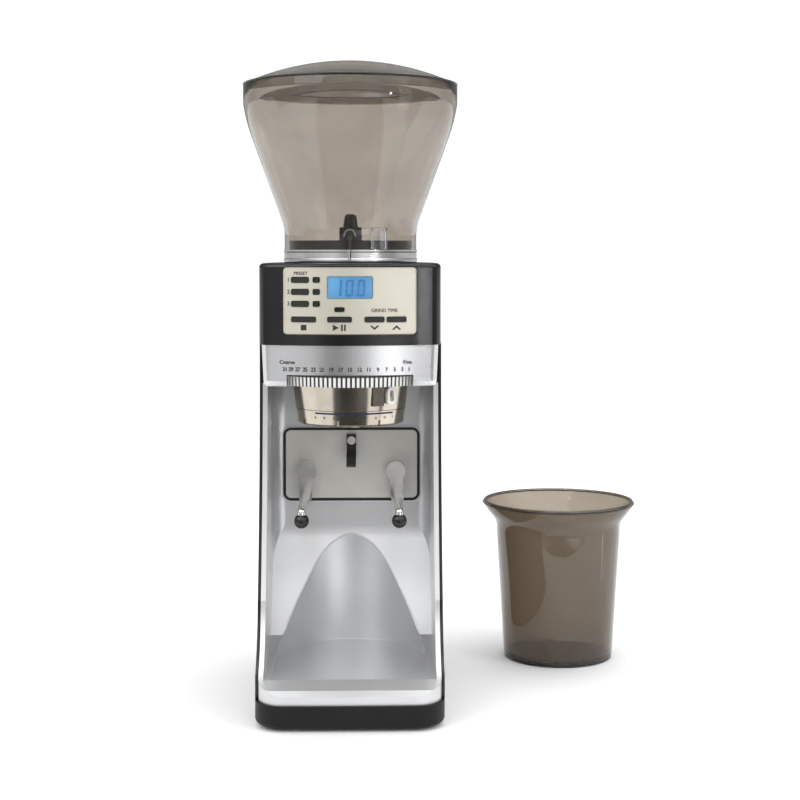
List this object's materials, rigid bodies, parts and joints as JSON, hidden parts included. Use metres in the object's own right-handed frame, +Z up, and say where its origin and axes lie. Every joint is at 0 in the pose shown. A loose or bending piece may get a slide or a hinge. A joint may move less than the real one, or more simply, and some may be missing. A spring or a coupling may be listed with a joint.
{
  "type": "burr coffee grinder",
  "caption": "Upright conical burr coffee grinder with a smoked hopper, front keypad and display, dosing fork, open channel body and a separate grounds bin.",
  "frame": {"origin": "on the table under the burr axis", "axes": "+Z up along the burr axis, front towards -Y, bin at +X"},
  "size_m": [0.2485, 0.24, 0.3788],
  "materials": {
    "black_shell": "fine moulded grain, black",
    "silver_paint": "metallic silver paint",
    "champagne_panel": "satin champagne silver",
    "key_black": "soft black keys",
    "green_lens": "tinted lens",
    "display_glass": "clear window",
    "blue_display": "backlit blue display",
    "circuit_board": "green laminate",
    "smoked_clear": "smoked clear plastic",
    "satin_ring": "satin",
    "dark_nylon": "moulded black nylon",
    "soft_rubber": "black rubber",
    "cast_case": "die cast",
    "motor_can": "zinc plated can",
    "gear_nylon": "machined nylon",
    "gear_steel": "machined steel",
    "burr_steel": "hardened steel",
    "bright_steel": "bright steel",
    "warm_steel": "turned stainless, warm tint",
    "ivory_ring": "light grey moulding"
  },
  "bodies": {
    "housing": {"base_pan": "black_shell", "rubber_feet": "soft_rubber", "case_screws": "bright_steel", "front_shell": "silver_paint", "rear_shell": "black_shell", "head_cover": "black_shell", "scale_housing": "silver_paint", "control_panel": "champagne_panel", "indicator_lights": "green_lens", "display_window": "display_glass", "display_module": "blue_display", "control_board": "circuit_board", "hopper_ring": "satin_ring", "throat": "dark_nylon", "gearbox_tray": "cast_case", "gearbox_deck": "cast_case", "gearbox_screws": "bright_steel", "ring_bearing": "bright_steel", "motor": "motor_can", "idler_shaft": "bright_steel", "holder_plate": "bright_steel", "holder_gasket": "soft_rubber", "supply_board": "circuit_board", "switch_frame": "dark_nylon", "cord_gland": "dark_nylon"},
    "preset_key_1": {"preset_button_1": "key_black"},
    "preset_key_2": {"preset_button_2": "key_black"},
    "preset_key_3": {"preset_button_3": "key_black"},
    "stop_key": {"stop_button": "key_black"},
    "start_key": {"start_button": "key_black"},
    "time_down_key": {"time_down_button": "key_black"},
    "time_up_key": {"time_up_button": "key_black"},
    "hopper": {"hopper_shell": "smoked_clear", "hopper_collar": "satin_ring", "hopper_gate": "dark_nylon"},
    "lid": {"hopper_lid": "smoked_clear"},
    "shutter": {"shutter_disc": "dark_nylon", "shutter_knob": "dark_nylon", "shutter_screw": "bright_steel"},
    "grinding_ring": {"drive_gear": "gear_nylon", "ring_burr": "burr_steel"},
    "idler": {"idler_pinion": "gear_steel", "idler_gear": "gear_nylon"},
    "rotor": {"motor_pinion": "gear_steel", "motor_shaft": "bright_steel"},
    "macro": {"macro_ring": "ivory_ring"},
    "carrier": {"burr_carrier": "warm_steel", "carrier_loop": "ivory_ring", "cone_burr": "burr_steel", "cone_bolt": "bright_steel", "grounds_chute": "warm_steel"},
    "micro": {"micro_ring": "warm_steel"},
    "left_fork": {"left_arm": "bright_steel", "left_arm_tip": "soft_rubber"},
    "right_fork": {"right_arm": "bright_steel", "right_arm_tip": "soft_rubber"},
    "hook": {"holder_hook": "dark_nylon", "hook_screw": "bright_steel"},
    "rocker": {"power_switch": "dark_nylon"},
    "bin": {"grounds_bin": "smoked_clear"}
  },
  "joints": [
    {"name": "preset_1_press", "type": "slide", "parent": "housing", "child": "preset_key_1", "axis": [0, 1, 0], "range_m": [0, 0.0008], "stiffness_N_per_m": 500},
    {"name": "preset_2_press", "type": "slide", "parent": "housing", "child": "preset_key_2", "axis": [0, 1, 0], "range_m": [0, 0.0008], "stiffness_N_per_m": 500},
    {"name": "preset_3_press", "type": "slide", "parent": "housing", "child": "preset_key_3", "axis": [0, 1, 0], "range_m": [0, 0.0008], "stiffness_N_per_m": 500},
    {"name": "stop_press", "type": "slide", "parent": "housing", "child": "stop_key", "axis": [0, 1, 0], "range_m": [0, 0.0008], "stiffness_N_per_m": 500},
    {"name": "start_press", "type": "slide", "parent": "housing", "child": "start_key", "axis": [0, 1, 0], "range_m": [0, 0.0008], "stiffness_N_per_m": 500},
    {"name": "time_down_press", "type": "slide", "parent": "housing", "child": "time_down_key", "axis": [0, 1, 0], "range_m": [0, 0.0008], "stiffness_N_per_m": 500},
    {"name": "time_up_press", "type": "slide", "parent": "housing", "child": "time_up_key", "axis": [0, 1, 0], "range_m": [0, 0.0008], "stiffness_N_per_m": 500},
    {"name": "hopper_twist", "type": "hinge", "parent": "housing", "child": "hopper", "pos_m": [0, 0, 0.2615], "axis": [0, 0, 1], "range_deg": [0, 25]},
    {"name": "lid_lift", "type": "slide", "parent": "hopper", "child": "lid", "axis": [0, 0, 1], "range_m": [0, 0.08]},
    {"name": "shutter_turn", "type": "hinge", "parent": "hopper", "child": "shutter", "pos_m": [0, 0, 0.266], "axis": [0, 0, 1], "range_deg": [0, 90]},
    {"name": "burr_spin", "type": "hinge", "parent": "housing", "child": "grinding_ring", "pos_m": [0, 0, 0.209], "axis": [0, 0, 1], "continuous": true},
    {"name": "idler_spin", "type": "hinge", "parent": "housing", "child": "idler", "pos_m": [0, 0.0473, 0.209], "axis": [0, 0, 1], "continuous": true},
    {"name": "motor_spin", "type": "hinge", "parent": "housing", "child": "rotor", "pos_m": [0, 0.0781, 0.209], "axis": [0, 0, 1], "continuous": true},
    {"name": "macro_turn", "type": "hinge", "parent": "housing", "child": "macro", "pos_m": [0, 0, 0.193], "axis": [0, 0, 1], "range_deg": [-65, 65]},
    {"name": "carrier_rise", "type": "slide", "parent": "housing", "child": "carrier", "axis": [0, 0, 1], "range_m": [-0.00078, 0.00078]},
    {"name": "micro_turn", "type": "hinge", "parent": "carrier", "child": "micro", "pos_m": [0, 0, 0.17], "axis": [0, 0, 1], "range_deg": [-30, 30]},
    {"name": "left_fork_swing", "type": "hinge", "parent": "housing", "child": "left_fork", "pos_m": [-0.0275, 0.04, 0.131], "axis": [0, 1, 0], "range_deg": [0, 80]},
    {"name": "right_fork_swing", "type": "hinge", "parent": "housing", "child": "right_fork", "pos_m": [0.0275, 0.04, 0.131], "axis": [0, 1, 0], "range_deg": [-80, 0]},
    {"name": "hook_height", "type": "slide", "parent": "housing", "child": "hook", "axis": [0, 0, 1], "range_m": [-0.006, 0.001]},
    {"name": "switch_rock", "type": "hinge", "parent": "housing", "child": "rocker", "pos_m": [0.0115, 0.1154, 0.026], "axis": [1, 0, 0], "range_deg": [-5, 5]},
    {"name": "bin_lift", "type": "slide", "parent": "housing", "child": "bin", "axis": [0, 0, 1], "range_m": [0, 0.12]}
  ],
  "couplings": [
    {"joint": "idler_spin", "follows": "burr_spin", "ratio": -2.3077},
    {"joint": "motor_spin", "follows": "burr_spin", "ratio": 8.4615},
    {"joint": "macro_turn", "follows": "carrier_rise", "rad_per_m": 1428.6}
  ]
}
